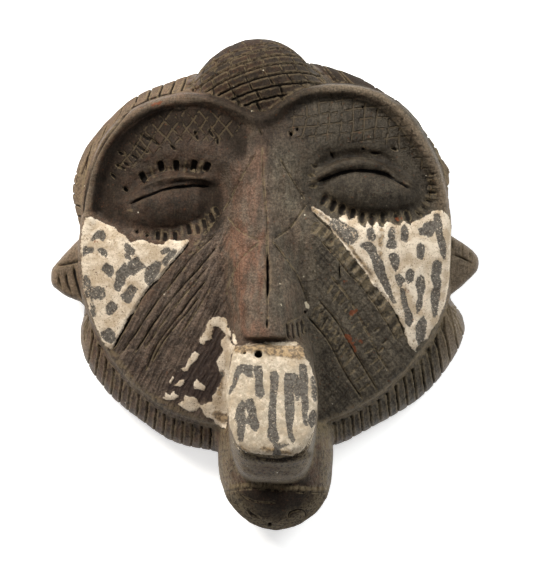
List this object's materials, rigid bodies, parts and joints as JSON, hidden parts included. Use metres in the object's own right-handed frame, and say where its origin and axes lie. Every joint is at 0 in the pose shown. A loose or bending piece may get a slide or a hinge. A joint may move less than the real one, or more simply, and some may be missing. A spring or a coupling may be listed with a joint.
{
  "type": "miniature mask",
  "caption": "Small carved wooden face mask lying on its hollow back: closed eyes, long nose, jutting muzzle, small ears, domed topknot, gouged hair and beard band, pale clay on cheeks.",
  "frame": {"origin": "middle of the object's outline, in the plane of the flat back rim that it lies on", "axes": "+Z out of the face, +Y towards the crown, +X to the viewer's right"},
  "size_m": [0.1116, 0.1281, 0.0442],
  "materials": {
    "dark_wood": "matt worn dark wood, pale clay with dark strokes on the cheeks and muzzle"
  },
  "bodies": {
    "root": {"mask": "dark_wood"}
  },
  "joints": []
}
